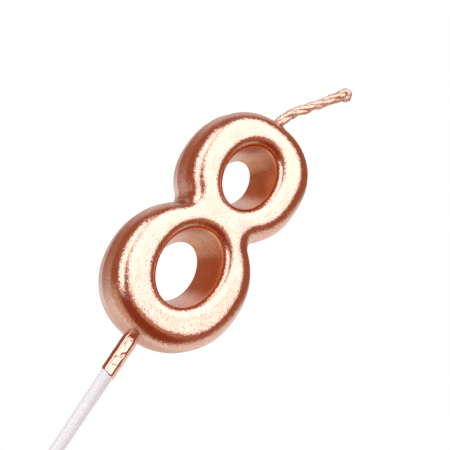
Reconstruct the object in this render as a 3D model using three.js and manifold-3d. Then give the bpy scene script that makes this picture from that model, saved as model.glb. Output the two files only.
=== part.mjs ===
// A number birthday candle: a cast wax figure 8 under a metallic lacquer coat, with a three-strand
// cotton wick and a tapered plastic pick. Millimetres, +Z up. The figure faces -Y. The origin is on
// the pick's axis at the lower edge of its lacquer, which is where the cake's top surface comes.
import * as THREE from 'three';
import { mergeVertices } from 'three/addons/utils/BufferGeometryUtils.js';
import Module from 'manifold-3d';

const wasm = await Module();
wasm.setup();

// ---- Driving dimensions ----
const FIGURE_HEIGHT = 48;
const FIGURE_THICKNESS = 10.8;
const FIGURE_CENTRE_X = -0.1; // the figure's centre line, from the pick's axis
const FIGURE_BOTTOM_Z = 8; // the figure's lowest point, above the cake
const CREST_Y = -8.8; // the foremost plane of the figure, from the pick's axis

// A power of 2 makes half of an ellipse, and a larger one is squarer.
const LOWER_LOBE = {
  halfWidth: 12.9,
  halfHeight: 13.65,
  topPower: 2.08,
  bottomPower: 2.2,
  centreZ: 13.65,
};
const UPPER_LOBE = {
  halfWidth: 11.35,
  halfHeight: 11.6,
  topPower: 2.24,
  bottomPower: 2.36,
  centreZ: FIGURE_HEIGHT - 11.6,
};
const WAIST_RADIUS = 1.8;

const FRONT_ROUND = { across: 2.7, deep: 3.7 }; // the rounded shoulder of the front
const BACK_ROUND = 0.8;

const LOWER_COUNTER = { halfWidth: 5.85, halfHeight: 7.75, centreZ: 15.25 }; // at the rim
const UPPER_COUNTER = { halfWidth: 4.83, halfHeight: 6.25, centreZ: 35.75 };
const COUNTER_RIM_DEPTH = 1.9; // how far the rim lies behind the crest
const COUNTER_FLARE = 2.6; // the dish from the rim out to the crest
const COUNTER_DRAFT = 0.207; // how fast the counters narrow towards the back
const COUNTER_BACK_ROUND = 0.4;

const COAT_THICKNESS = 0.3;
const COAT_TO_WAX = 0.3;

const PICK = { topRadius: 1.375, tipRadius: 0.35, taper: 0.0075, pointLength: 5, chamfer: 0.3 };
const PICK_LENGTH_IN_CAKE = 42;
const PICK_LENGTH_IN_WAX = 6.5;
const PICK_SIDES = 24;
const SLEEVE = { innerRadius: 1.42, outerRadius: 1.52, ripple: 0.03, waves: 4, gapToFigure: 0.3 };
const BORE_CLEARANCE = 0.3;
const TOOL_OVERRUN = 2; // how far a cutting tool runs past the figure

const WICK = { strands: 3, strandOffset: 0.52, strandRadius: 0.375, twistPitch: 5.2 };
const WICK_DEPTH = 3.6; // behind the crest where the wick leaves the figure
const WICK_END = { spread: 0.18, from: 0.95 }; // the free end opens over the last twentieth
const WICK_CHANNEL = { radius: 1.2, runIn: 0.6 };

const LOBE_STEPS = 17; // steps of each lobe in half the outline
const WAIST_STEPS = 5;
const COUNTER_STEPS = 28;
const STRAND_SIDES = 6;
const STRAND_STEP = 0.95;
const CHANNEL_SIDES = 8;
const CHANNEL_STEP = 1.6;
const FRAME_COUNT = 400; // frames along the wick's centre line that the strands turn about
const ROUND_STEPS = 5;
const BACK_ROUND_STEPS = 2;
const FILLET_SEARCH_STEPS = 900;
const FILLET_HALVINGS = 40;
const QUARTER_TURN = Math.PI / 2;

// ---- Materials ----
function lacquer() {
  return new THREE.MeshStandardMaterial({ color: 0xd69a7c, roughness: 0.28, metalness: 1 });
}

function wax() {
  return new THREE.MeshStandardMaterial({ color: 0xf1e4d3, roughness: 0.55, metalness: 0 });
}

function whitePlastic() {
  return new THREE.MeshStandardMaterial({ color: 0xefecef, roughness: 0.35, metalness: 0 });
}

function lacqueredCotton() {
  return new THREE.MeshStandardMaterial({ color: 0xd8a386, roughness: 0.45, metalness: 0.7 });
}

// ---- Solids from rings of points ----

// Evenly spaced values from one number to another, both included.
function steps(from, to, count) {
  return Array.from({ length: count + 1 }, (_, i) => from + ((to - from) * i) / count);
}

// A closed geometry through rings that all have the same number of points.
function loft(rings) {
  const count = rings[0].length;
  const positions = rings.flat().flatMap((p) => [p.x, p.y, p.z]);
  const faces = [];
  for (let level = 0; level + 1 < rings.length; level += 1) {
    for (let i = 0; i < count; i += 1) {
      const next = (i + 1) % count;
      const a = level * count + i;
      const b = level * count + next;
      faces.push([a, b, b + count], [a, b + count, a + count]);
    }
  }
  const cap = THREE.ShapeUtils.triangulateShape(rings[0].map((p) => new THREE.Vector2(p.x, p.z)), []);
  const last = (rings.length - 1) * count;
  for (const [a, b, c] of cap) {
    faces.push([a, c, b], [last + a, last + b, last + c]);
  }
  const geometry = new THREE.BufferGeometry();
  geometry.setAttribute('position', new THREE.Float32BufferAttribute(positions, 3));
  geometry.setIndex(faces.flat());
  return facingOut(geometry);
}

function signedVolume(geometry) {
  const corners = geometry.toNonIndexed().getAttribute('position');
  const [a, b, c] = [new THREE.Vector3(), new THREE.Vector3(), new THREE.Vector3()];
  let volume = 0;
  for (let i = 0; i < corners.count; i += 3) {
    a.fromBufferAttribute(corners, i);
    b.fromBufferAttribute(corners, i + 1);
    c.fromBufferAttribute(corners, i + 2);
    volume += a.dot(b.cross(c)) / 6;
  }
  return volume;
}

function facingOut(geometry) {
  if (signedVolume(geometry) < 0) {
    const index = geometry.getIndex();
    for (let i = 0; i < index.count; i += 3) {
      const second = index.getX(i + 1);
      index.setX(i + 1, index.getX(i + 2));
      index.setX(i + 2, second);
    }
  }
  return geometry;
}

function toSolid(geometry) {
  const bare = geometry.clone();
  bare.deleteAttribute('normal');
  bare.deleteAttribute('uv');
  const merged = mergeVertices(bare, 1e-4);
  return new wasm.Manifold(new wasm.Mesh({
    numProp: 3,
    vertProperties: new Float32Array(merged.getAttribute('position').array),
    triVerts: new Uint32Array(merged.getIndex().array),
  }));
}

function toGeometry(solid) {
  const mesh = solid.getMesh();
  const geometry = new THREE.BufferGeometry();
  geometry.setAttribute('position', new THREE.BufferAttribute(mesh.vertProperties, 3));
  geometry.setIndex(new THREE.BufferAttribute(mesh.triVerts, 1));
  geometry.computeVertexNormals();
  return geometry;
}

// ---- The figure's outline ----

// A point of a lobe and its outward normal. The angle is 0 at the right and 90 degrees at the top.
function lobePoint(lobe, angle) {
  const c = Math.cos(angle);
  const s = Math.sin(angle);
  const power = s > 0 ? lobe.topPower : lobe.bottomPower;
  const bend = 2 / power;
  const x = Math.sign(c) * Math.abs(c) ** bend;
  const z = Math.sign(s) * Math.abs(s) ** bend;
  const normal = new THREE.Vector2(
    (Math.sign(x) * Math.abs(x) ** (power - 1)) / lobe.halfWidth,
    (Math.sign(z) * Math.abs(z) ** (power - 1)) / lobe.halfHeight,
  ).normalize();
  return { x: lobe.halfWidth * x, z: lobe.centreZ + lobe.halfHeight * z, nx: normal.x, nz: normal.y };
}

// The nearest point of the upper lobe's lower right quarter, and its distance, which is below zero
// for a point inside the lobe.
function nearestOnUpperLobe(point) {
  const power = UPPER_LOBE.bottomPower;
  const across = Math.abs(point.x / UPPER_LOBE.halfWidth) ** power;
  const along = Math.abs((point.z - UPPER_LOBE.centreZ) / UPPER_LOBE.halfHeight) ** power;
  const side = Math.sign(across + along - 1);
  const found = { angle: 0, distance: Infinity };
  for (const angle of steps(-QUARTER_TURN, 0, FILLET_SEARCH_STEPS)) {
    const q = lobePoint(UPPER_LOBE, angle);
    const distance = Math.hypot(q.x - point.x, q.z - point.z);
    if (distance < found.distance) {
      found.angle = angle;
      found.distance = distance;
    }
  }
  return { angle: found.angle, distance: side * found.distance };
}

function outsideLowerLobe(angle) {
  const p = lobePoint(LOWER_LOBE, angle);
  return { x: p.x + WAIST_RADIUS * p.nx, z: p.z + WAIST_RADIUS * p.nz };
}

// The waist's fillet touches both lobes: its centre is WAIST_RADIUS outside each of them.
function waistFillet() {
  let low = 0;
  let high = QUARTER_TURN;
  for (let i = 0; i < FILLET_HALVINGS; i += 1) {
    const middle = (low + high) / 2;
    if (nearestOnUpperLobe(outsideLowerLobe(middle)).distance > WAIST_RADIUS) {
      low = middle;
    } else {
      high = middle;
    }
  }
  const centre = outsideLowerLobe(low);
  return { centre, lowerAngle: low, upperAngle: nearestOnUpperLobe(centre).angle };
}

// The whole outline, up the right side and down the left, with an outward normal at each point.
function figureOutline() {
  const { centre, lowerAngle, upperAngle } = waistFillet();
  const start = lobePoint(LOWER_LOBE, lowerAngle);
  const end = lobePoint(UPPER_LOBE, upperAngle);
  const startTurn = Math.atan2(-start.nz, -start.nx) + 2 * Math.PI;
  const endTurn = Math.atan2(-end.nz, -end.nx);
  const waist = steps(startTurn, endTurn, WAIST_STEPS).slice(1, -1).map((turn) => ({
    x: centre.x + WAIST_RADIUS * Math.cos(turn),
    z: centre.z + WAIST_RADIUS * Math.sin(turn),
    nx: -Math.cos(turn),
    nz: -Math.sin(turn),
  }));
  const right = [
    ...steps(-QUARTER_TURN, lowerAngle, LOBE_STEPS).map((angle) => lobePoint(LOWER_LOBE, angle)),
    ...waist,
    ...steps(upperAngle, QUARTER_TURN, LOBE_STEPS).map((angle) => lobePoint(UPPER_LOBE, angle)),
  ];
  const left = right.slice(1, -1).reverse().map((p) => ({ x: -p.x, z: p.z, nx: -p.nx, nz: p.nz }));
  return [...right, ...left];
}

function counterOutline(counter) {
  return steps(0, 2 * Math.PI, COUNTER_STEPS).slice(0, -1).map((angle) => {
    const c = Math.cos(angle);
    const s = Math.sin(angle);
    const normal = new THREE.Vector2(c / counter.halfWidth, s / counter.halfHeight).normalize();
    return {
      x: counter.halfWidth * c,
      z: counter.centreZ + counter.halfHeight * s,
      nx: normal.x,
      nz: normal.y,
    };
  });
}

// ---- The figure's depth profiles: how far in or out from an outline, at each depth ----

// From the back to the front, as [inset from the outline, depth behind the crest].
function outerProfile() {
  const back = steps(0, QUARTER_TURN, BACK_ROUND_STEPS).map((turn) => [
    BACK_ROUND * (1 - Math.sin(turn)),
    FIGURE_THICKNESS - BACK_ROUND * (1 - Math.cos(turn)),
  ]);
  const front = steps(0, QUARTER_TURN, ROUND_STEPS).map((turn) => [
    FRONT_ROUND.across * (1 - Math.cos(turn)),
    FRONT_ROUND.deep * (1 - Math.sin(turn)),
  ]);
  return [...back, ...front];
}

// From the back to the front, as [widening of the rim outline, depth behind the crest].
function counterProfile() {
  const wallEnd = FIGURE_THICKNESS - COUNTER_BACK_ROUND;
  const narrowest = -COUNTER_DRAFT * (wallEnd - COUNTER_RIM_DEPTH);
  const flare = steps(0, 1, ROUND_STEPS).map((share) => [
    COUNTER_FLARE * share,
    COUNTER_RIM_DEPTH * (1 - share) ** 2,
  ]);
  return [[narrowest + COUNTER_BACK_ROUND, FIGURE_THICKNESS], [narrowest, wallEnd], ...flare];
}

// Moves a profile sideways: to its left, going along it, for a distance above zero.
function offsetProfile(profile, distance) {
  return profile.map(([u, v], i) => {
    const before = profile[Math.max(i - 1, 0)];
    const after = profile[Math.min(i + 1, profile.length - 1)];
    const along = new THREE.Vector2(after[0] - before[0], after[1] - before[1]).normalize();
    return [u - along.y * distance, v + along.x * distance];
  });
}

function figureRing(outline, outward, depth) {
  return outline.map((p) => new THREE.Vector3(
    FIGURE_CENTRE_X + p.x + p.nx * outward,
    CREST_Y + depth,
    FIGURE_BOTTOM_Z + p.z + p.nz * outward,
  ));
}

// The figure's outside with its surface moved in by a distance, and no counters yet.
function outerSolid(inward) {
  const profile = offsetProfile(outerProfile(), inward);
  profile[0][1] = FIGURE_THICKNESS - inward;
  profile[profile.length - 1][1] = inward;
  const outline = figureOutline();
  return toSolid(loft(profile.map(([inset, depth]) => figureRing(outline, -inset, depth))));
}

// The tool that cuts a counter, larger by a distance all round, and longer than the figure is thick.
function counterTool(counter, larger) {
  const profile = offsetProfile(counterProfile(), larger);
  const first = profile[0];
  const last = profile[profile.length - 1];
  const full = [
    [first[0], FIGURE_THICKNESS + TOOL_OVERRUN],
    ...profile,
    [last[0], -TOOL_OVERRUN],
  ];
  const outline = counterOutline(counter);
  return toSolid(loft(full.map(([wider, depth]) => figureRing(outline, wider, depth))));
}

function figureSolid(inward) {
  return outerSolid(inward)
    .subtract(counterTool(LOWER_COUNTER, inward))
    .subtract(counterTool(UPPER_COUNTER, inward));
}

// ---- The pick and its lacquer sleeve ----

function pickRadius(z) {
  return PICK.topRadius - PICK.taper * (FIGURE_BOTTOM_Z - z);
}

function pickGeometry() {
  const top = FIGURE_BOTTOM_Z + PICK_LENGTH_IN_WAX;
  const pointStart = PICK.pointLength - PICK_LENGTH_IN_CAKE;
  const profile = [
    new THREE.Vector2(0, -PICK_LENGTH_IN_CAKE),
    new THREE.Vector2(PICK.tipRadius, -PICK_LENGTH_IN_CAKE),
    new THREE.Vector2(pickRadius(pointStart), pointStart),
    new THREE.Vector2(pickRadius(0), 0),
    new THREE.Vector2(PICK.topRadius, top - PICK.chamfer),
    new THREE.Vector2(PICK.topRadius - PICK.chamfer, top),
    new THREE.Vector2(0, top),
  ];
  return uprightLathe(profile, PICK_SIDES);
}

// A turned shape whose profile is [radius, height], standing along +Z.
function uprightLathe(profile, sides) {
  return new THREE.LatheGeometry(profile, sides).rotateX(QUARTER_TURN);
}

// The lacquer ran down the pick and set in shallow waves.
function sleeveGeometry() {
  const pointsPerWave = 3;
  const height = FIGURE_BOTTOM_Z - SLEEVE.gapToFigure;
  const outside = steps(0, 1, pointsPerWave * SLEEVE.waves).map((share) => new THREE.Vector2(
    SLEEVE.outerRadius + SLEEVE.ripple * Math.sin(2 * Math.PI * SLEEVE.waves * share),
    height * share,
  ));
  const inside = [
    new THREE.Vector2(SLEEVE.innerRadius, height),
    new THREE.Vector2(SLEEVE.innerRadius, 0),
  ];
  return uprightLathe([...outside, ...inside, outside[0]], PICK_SIDES);
}

function pickBore() {
  const radius = PICK.topRadius + BORE_CLEARANCE;
  const bottom = FIGURE_BOTTOM_Z - TOOL_OVERRUN;
  const top = FIGURE_BOTTOM_Z + PICK_LENGTH_IN_WAX + BORE_CLEARANCE;
  const bore = new THREE.CylinderGeometry(radius, radius, top - bottom, PICK_SIDES);
  return toSolid(bore.rotateX(QUARTER_TURN).translate(0, 0, (top + bottom) / 2));
}

// ---- The wick ----

// The wick's centre line, as [x, depth behind the crest, z] on the figure: up the right stroke of
// the lower loop, across the waist, up the left stroke of the upper loop and out of the top.
const WICK_ROUTE = [
  [9.4, 5.6, 8.0],
  [9.6, 5.6, 14.0],
  [8.2, 5.6, 20.2],
  [3.6, 5.6, 24.8],
  [-2.0, 5.6, 27.6],
  [-6.6, 5.6, 31.0],
  [-7.9, 5.4, 36.0],
  [-6.4, 4.9, 41.2],
  [-3.2, 4.2, 44.6],
  [-1.2, 3.8, 46.6],
  [-0.5, WICK_DEPTH, 48.5],
  [0.3, WICK_DEPTH, 50.9],
  [2.0, WICK_DEPTH, 53.6],
  [4.2, WICK_DEPTH, 56.6],
  [5.5, WICK_DEPTH, 58.7],
  [6.9, WICK_DEPTH, 61.0],
];

function wickCentreLine() {
  return new THREE.CatmullRomCurve3(WICK_ROUTE.map(([x, depth, z]) => new THREE.Vector3(
    FIGURE_CENTRE_X + x,
    CREST_Y + depth,
    FIGURE_BOTTOM_Z + z,
  )));
}

// One strand: a helix about the wick's centre line that opens a little at the free end.
class StrandCurve extends THREE.Curve {
  constructor(centreLine, phase) {
    super();
    this.centreLine = centreLine;
    this.phase = phase;
    this.length = centreLine.getLength();
    this.frames = centreLine.computeFrenetFrames(FRAME_COUNT, false);
  }

  getPoint(t, target = new THREE.Vector3()) {
    const frame = Math.round(t * FRAME_COUNT);
    const turn = this.phase + (2 * Math.PI * this.length * t) / WICK.twistPitch;
    const opened = THREE.MathUtils.smoothstep(t, WICK_END.from, 1);
    const radius = WICK.strandOffset + WICK_END.spread * opened;
    target.copy(this.centreLine.getPointAt(t));
    target.addScaledVector(this.frames.normals[frame], radius * Math.cos(turn));
    return target.addScaledVector(this.frames.binormals[frame], radius * Math.sin(turn));
  }
}

function polygonShape(radius, sides) {
  const corners = steps(0, 2 * Math.PI, sides).slice(0, -1).map((turn) => (
    new THREE.Vector2(radius * Math.cos(turn), radius * Math.sin(turn))
  ));
  return new THREE.Shape(corners);
}

function tube(curve, radius, sides, step) {
  return new THREE.ExtrudeGeometry(polygonShape(radius, sides), {
    steps: Math.round(curve.getLength() / step),
    extrudePath: curve,
  });
}

function strandGeometry(centreLine, number) {
  const curve = new StrandCurve(centreLine, (2 * Math.PI * number) / WICK.strands);
  return tube(curve, WICK.strandRadius, STRAND_SIDES, STRAND_STEP);
}

// The passage that the wax leaves for the wick, from a little before its lower end to outside the
// figure. The wick's first two points above the figure end it.
function wickChannel() {
  const centreLine = wickCentreLine();
  const runIn = centreLine.getTangentAt(0).multiplyScalar(-WICK_CHANNEL.runIn);
  const start = centreLine.getPointAt(0).add(runIn);
  const inside = WICK_ROUTE.filter(([, , z]) => z < FIGURE_HEIGHT).length;
  const points = [start, ...centreLine.points.slice(0, inside + 2)];
  const channel = new THREE.CatmullRomCurve3(points);
  return toSolid(tube(channel, WICK_CHANNEL.radius, CHANNEL_SIDES, CHANNEL_STEP));
}

// ---- The object ----

function named(name, geometry, material) {
  const mesh = new THREE.Mesh(geometry, material);
  mesh.name = name;
  return mesh;
}

const candle = new THREE.Group();
const openings = wickChannel().add(pickBore());
const coat = figureSolid(0).subtract(figureSolid(COAT_THICKNESS)).subtract(openings);
const core = figureSolid(COAT_THICKNESS + COAT_TO_WAX).subtract(openings);

candle.add(named('wax_body', toGeometry(core), wax()));
candle.add(named('lacquer_coat', toGeometry(coat), lacquer()));
candle.add(named('pick', pickGeometry(), whitePlastic()));
candle.add(named('pick_lacquer', sleeveGeometry(), lacquer()));

const wickLine = wickCentreLine();
for (let number = 1; number <= WICK.strands; number += 1) {
  candle.add(named(`wick_strand_${number}`, strandGeometry(wickLine, number), lacqueredCotton()));
}

export default candle;
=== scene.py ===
import math

import bpy
import bmesh
import numpy as np
from mathutils import Matrix, Quaternion, Vector, noise
from mathutils.kdtree import KDTree


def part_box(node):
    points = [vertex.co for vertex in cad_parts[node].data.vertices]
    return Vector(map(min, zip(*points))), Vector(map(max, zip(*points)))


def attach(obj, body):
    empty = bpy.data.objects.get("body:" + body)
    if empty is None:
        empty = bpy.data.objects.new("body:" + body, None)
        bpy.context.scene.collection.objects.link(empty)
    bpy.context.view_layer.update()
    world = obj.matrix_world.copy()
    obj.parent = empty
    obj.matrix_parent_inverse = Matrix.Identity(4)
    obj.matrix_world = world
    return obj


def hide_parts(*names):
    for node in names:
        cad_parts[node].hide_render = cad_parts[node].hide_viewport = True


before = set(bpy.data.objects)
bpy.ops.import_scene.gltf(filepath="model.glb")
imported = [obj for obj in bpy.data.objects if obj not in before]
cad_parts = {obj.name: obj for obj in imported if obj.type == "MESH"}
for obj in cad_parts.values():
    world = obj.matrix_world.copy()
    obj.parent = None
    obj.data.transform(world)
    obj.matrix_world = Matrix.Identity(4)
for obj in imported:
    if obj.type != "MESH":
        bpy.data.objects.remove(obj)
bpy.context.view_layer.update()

MM = 0.001

# ---- Sizes shared with the CAD part ----
COAT_LOW, COAT_HIGH = (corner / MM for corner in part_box("lacquer_coat"))
PICK_LOW, PICK_HIGH = (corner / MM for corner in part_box("pick"))

FIGURE_X = (COAT_LOW.x + COAT_HIGH.x) / 2
FIGURE_Z = COAT_LOW.z
CREST_Y = COAT_LOW.y
THICKNESS = COAT_HIGH.y - COAT_LOW.y

LOWER_LOBE = {
    "half_width": 12.9, "half_height": 13.65, "top_power": 2.08, "bottom_power": 2.2, "z": 13.65,
}
UPPER_LOBE = {
    "half_width": 11.35, "half_height": 11.6, "top_power": 2.24, "bottom_power": 2.36, "z": 36.35,
}
WAIST_RADIUS = 1.5
LOWER_COUNTER = {"half_width": 5.85, "half_height": 7.75, "z": 15.25}
UPPER_COUNTER = {"half_width": 4.83, "half_height": 6.25, "z": 35.75}
COUNTER_DRAFT = 0.207
PICK = {"top_radius": 1.375, "tip_radius": 0.35, "taper": 0.0075, "point_length": 5.0}

# The wick's centre line on the figure, as the CAD part has it: across, behind the crest, up.
WICK_ROUTE = [
    (9.4, 5.6, 8.0), (9.6, 5.6, 14.0), (8.2, 5.6, 20.2), (3.6, 5.6, 24.8), (-2.0, 5.6, 27.6),
    (-6.6, 5.6, 31.0), (-7.9, 5.4, 36.0), (-6.4, 4.9, 41.2), (-3.2, 4.2, 44.6), (-1.2, 3.8, 46.6),
    (-0.5, 3.6, 48.5), (0.3, 3.6, 50.9), (2.0, 3.6, 53.6), (4.2, 3.6, 56.6), (5.5, 3.6, 58.7),
    (6.9, 3.6, 61.0),
]
WICK_EXIT = WICK_ROUTE[10]

# ---- Sizes of the fine shape ----
SHOULDER = {"across": 3.1, "deep": 3.9, "power": 2.0}
DISH = {"across": 2.0, "deep": 1.9, "power": 2.0}  # the rounding of the stroke down to a counter
PARTING = {"depth": 7.7, "wider": 0.15, "front_draft": 0.035, "back_draft": 0.10}
BACK_ROUND = 0.4
COUNTER_BACK_ROUND = 0.5
LIP_HALF_WIDTH = 0.42
OUTLINE_SMOOTHING = 0.5
UNEVENNESS = [{"size": 5.5, "height": 0.030}, {"size": 2.2, "height": 0.003}]
COLLAR = {"reach": 2.3, "height": 0.45}  # the lacquer that crept up the wick
BACK_MARGIN = 0.2  # the counters' marking ends this far short of the back face

UPPER_COLUMNS = 190
LOWER_COLUMNS = 240
CHORD_COLUMNS = 36
STROKE_ROWS = 44
WALL_ROWS = 16
ROUND_ROWS = 8
BACK_ROWS = 8
OUTLINE_STEPS = 6000
LOBE_STEPS = 1500
WAIST_STEPS = 200
RIM_STEPS = 2000
WAIST_REACH = 4  # how far from the fillet's middle the narrowest point may lie
WELD = 0.002  # points nearer than this are joined


# ---- The outline of the figure ----

def lobe_power(lobe, angles):
    """A lobe's top half and bottom half each have their own squareness."""
    return np.where(np.sin(angles) > 0, lobe["top_power"], lobe["bottom_power"])


def lobe_points(lobe, angles):
    bend = 2 / lobe_power(lobe, angles)
    c, s = np.cos(angles), np.sin(angles)
    x = lobe["half_width"] * np.sign(c) * np.abs(c) ** bend
    z = lobe["z"] + lobe["half_height"] * np.sign(s) * np.abs(s) ** bend
    return np.stack([x, z], axis=1)


def lobe_normals(lobe, angles):
    bend = 2 - 2 / lobe_power(lobe, angles)
    c, s = np.cos(angles), np.sin(angles)
    x = np.sign(c) * np.abs(c) ** bend / lobe["half_width"]
    z = np.sign(s) * np.abs(s) ** bend / lobe["half_height"]
    return np.stack([x, z], axis=1) / np.hypot(x, z)[:, None]


def waist_fillet():
    """The centre of the circle that touches both lobes from outside, and where it touches them."""
    lower = np.linspace(0, math.pi / 2, LOBE_STEPS)
    upper = np.linspace(-math.pi / 2, 0, LOBE_STEPS)
    from_lower = lobe_points(LOWER_LOBE, lower) + WAIST_RADIUS * lobe_normals(LOWER_LOBE, lower)
    from_upper = lobe_points(UPPER_LOBE, upper) + WAIST_RADIUS * lobe_normals(UPPER_LOBE, upper)
    apart = np.linalg.norm(from_lower[:, None] - from_upper[None], axis=2)
    i, j = np.unravel_index(apart.argmin(), apart.shape)
    return (from_lower[i] + from_upper[j]) / 2, lower[i], upper[j]


def arc_points(centre, start, end):
    turn = np.linspace(start, end, WAIST_STEPS)
    return centre + WAIST_RADIUS * np.stack([np.cos(turn), np.sin(turn)], axis=1)


def mirrored(points):
    return (points * [-1, 1])[::-1]


def smoothed(points, width):
    """A closed outline, evenly spaced, with its corners of curvature softened over a width."""
    spacing = np.linalg.norm(points[1] - points[0])
    wave = np.fft.fftfreq(len(points), d=spacing)
    softening = np.exp(-2 * (math.pi * wave * width) ** 2)[:, None]
    return np.real(np.fft.ifft(np.fft.fft(points, axis=0) * softening, axis=0))


def resampled(points, count):
    """A number of evenly spaced points on a closed outline."""
    points = np.vstack([points, points[:1]])
    along = np.concatenate([[0], np.cumsum(np.linalg.norm(np.diff(points, axis=0), axis=1))])
    wanted = np.linspace(0, along[-1], count + 1)[:-1]
    return np.stack([np.interp(wanted, along, points[:, k]) for k in range(2)], axis=1)


def dense_outline():
    """The closed outline from the right of the waist, over the top, to the left and round."""
    centre, lower_angle, upper_angle = waist_fillet()
    to_upper = -lobe_normals(UPPER_LOBE, np.array([upper_angle]))[0]
    to_lower = -lobe_normals(LOWER_LOBE, np.array([lower_angle]))[0]
    upper_turn = math.atan2(to_upper[1], to_upper[0])
    lower_turn = math.atan2(to_lower[1], to_lower[0]) + 2 * math.pi
    upper_right = np.vstack([
        arc_points(centre, math.pi, upper_turn),
        lobe_points(UPPER_LOBE, np.linspace(upper_angle, math.pi / 2, LOBE_STEPS))[1:],
    ])
    lower_right = np.vstack([
        lobe_points(LOWER_LOBE, np.linspace(-math.pi / 2, lower_angle, LOBE_STEPS)),
        arc_points(centre, lower_turn, math.pi)[1:],
    ])
    upper = np.vstack([upper_right, mirrored(upper_right)[1:]])
    lower = np.vstack([mirrored(lower_right), lower_right[1:]])
    whole = np.vstack([upper, lower[1:-1]])
    return smoothed(resampled(whole, OUTLINE_STEPS), OUTLINE_SMOOTHING)


def outward_normals(points):
    along = np.roll(points, -1, axis=0) - np.roll(points, 1, axis=0)
    along /= np.linalg.norm(along, axis=1)[:, None]
    return np.stack([along[:, 1], -along[:, 0]], axis=1)


OUTLINE = dense_outline()
OUTLINE_NORMALS = outward_normals(OUTLINE)


def split_at_waist():
    """The dense outline's index of the narrowest point on each side of the waist."""
    near = np.abs(OUTLINE[:, 1] - OUTLINE[0, 1]) < WAIST_REACH
    right = np.where(near & (OUTLINE[:, 0] > 0))[0]
    left = np.where(near & (OUTLINE[:, 0] < 0))[0]
    return right[OUTLINE[right, 0].argmin()], left[OUTLINE[left, 0].argmax()]


def outline_columns():
    """Indices into the dense outline: those of the upper part, then those of the lower part."""
    right, left = split_at_waist()
    count = len(OUTLINE)
    upper = np.linspace(right, left, UPPER_COLUMNS + 1).round().astype(int)
    start = right + count if right < left else right
    lower = np.linspace(left, start, LOWER_COLUMNS + 1).round().astype(int)
    return upper % count, lower % count


def ellipse_points(counter, angles, wider=0.0):
    """Points of a counter's rim, moved outward by a distance."""
    c, s = np.cos(angles), np.sin(angles)
    normal = np.stack([c / counter["half_width"], s / counter["half_height"]], axis=1)
    normal /= np.linalg.norm(normal, axis=1)[:, None]
    x = counter["half_width"] * c
    z = counter["z"] + counter["half_height"] * s
    return np.stack([x, z], axis=1) + np.asarray(wider) * normal


# ---- The front surface ----

def distance_to(points, line):
    """The distance from each point to a closed line of many short segments."""
    tree = KDTree(len(line))
    for k, (x, z) in enumerate(line):
        tree.insert((x, 0, z), k)
    tree.balance()
    i = np.array([tree.find((x, 0, z))[1] for x, z in points])
    nearest = np.full(len(points), np.inf)
    for k in (i - 1, i):
        a, b = line[k], line[(k + 1) % len(line)]
        share = np.clip(((points - a) * (b - a)).sum(1) / ((b - a) ** 2).sum(1), 0, 1)
        foot = a + share[:, None] * (b - a)
        nearest = np.minimum(nearest, np.linalg.norm(points - foot, axis=1))
    return nearest


RIM_ANGLES = np.linspace(0, 2 * math.pi, RIM_STEPS + 1)[:-1]
LOWER_RIM = ellipse_points(LOWER_COUNTER, RIM_ANGLES)
UPPER_RIM = ellipse_points(UPPER_COUNTER, RIM_ANGLES)


def rounding(distance, across, deep, power):
    """How deep a rounding lies at a distance in from the edge. Power 2 is elliptic, 1 is a bevel."""
    t = np.clip(1 - distance / across, 0, 1)
    return deep * (1 - (1 - t ** power) ** (1 / power))


def wall_inset(depth):
    """The outer wall is widest at the mould's parting line and leans in on both sides of it."""
    ahead = np.clip(PARTING["depth"] - depth, 0, None)
    behind = np.clip(depth - PARTING["depth"], 0, None)
    return PARTING["front_draft"] * ahead + PARTING["back_draft"] * behind - PARTING["wider"]


def front_depth(points):
    front_edge = OUTLINE - wall_inset(SHOULDER["deep"]) * OUTLINE_NORMALS
    depth = rounding(distance_to(points, front_edge), **SHOULDER)
    for rim in (LOWER_RIM, UPPER_RIM):
        depth = depth + rounding(distance_to(points, rim), **DISH)
    return depth


# ---- Building the figure's mesh from patches ----

class Patches:
    """Collects grids of points and makes one welded mesh of them."""

    def __init__(self):
        self.points = []
        self.faces = []

    def grid(self, rows, closed, flip=False):
        """rows is an array of rows, columns and three coordinates in millimetres."""
        count, columns = rows.shape[:2]
        first = sum(len(p) for p in self.points)
        self.points.append(rows.reshape(-1, 3))
        last = columns if closed else columns - 1
        for r in range(count - 1):
            for c in range(last):
                d = (c + 1) % columns
                a, b = first + r * columns + c, first + r * columns + d
                face = (a, b, b + columns, a + columns)
                self.faces.append(face[::-1] if flip else face)

    def mesh(self, name, weld=True):
        data = bpy.data.meshes.new(name)
        data.from_pydata((np.vstack(self.points) * MM).tolist(), [], self.faces)
        shape = bmesh.new()
        shape.from_mesh(data)
        if weld:
            bmesh.ops.remove_doubles(shape, verts=shape.verts, dist=WELD * MM)
        bmesh.ops.recalc_face_normals(shape, faces=shape.faces)
        for face in shape.faces:
            face.smooth = True
        shape.to_mesh(data)
        shape.free()
        return data


def placed(points, depth):
    """Figure points and depths behind the crest, in the row frame."""
    depth = np.broadcast_to(depth, points.shape[:-1])
    x = FIGURE_X + points[..., 0]
    z = FIGURE_Z + points[..., 1]
    return np.stack([x, CREST_Y + depth, z], axis=-1)


def ring_of(boundary, counter, wider):
    """The counter's rim points that lie in the same direction as each boundary point."""
    centre = np.array([0, counter["z"]])
    away = boundary - centre
    angles = np.arctan2(away[:, 1] / counter["half_height"], away[:, 0] / counter["half_width"])
    return ellipse_points(counter, angles, wider)


def chord(start, end):
    share = np.linspace(0, 1, CHORD_COLUMNS + 1)[1:-1, None]
    return start + share * (end - start)


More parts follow.
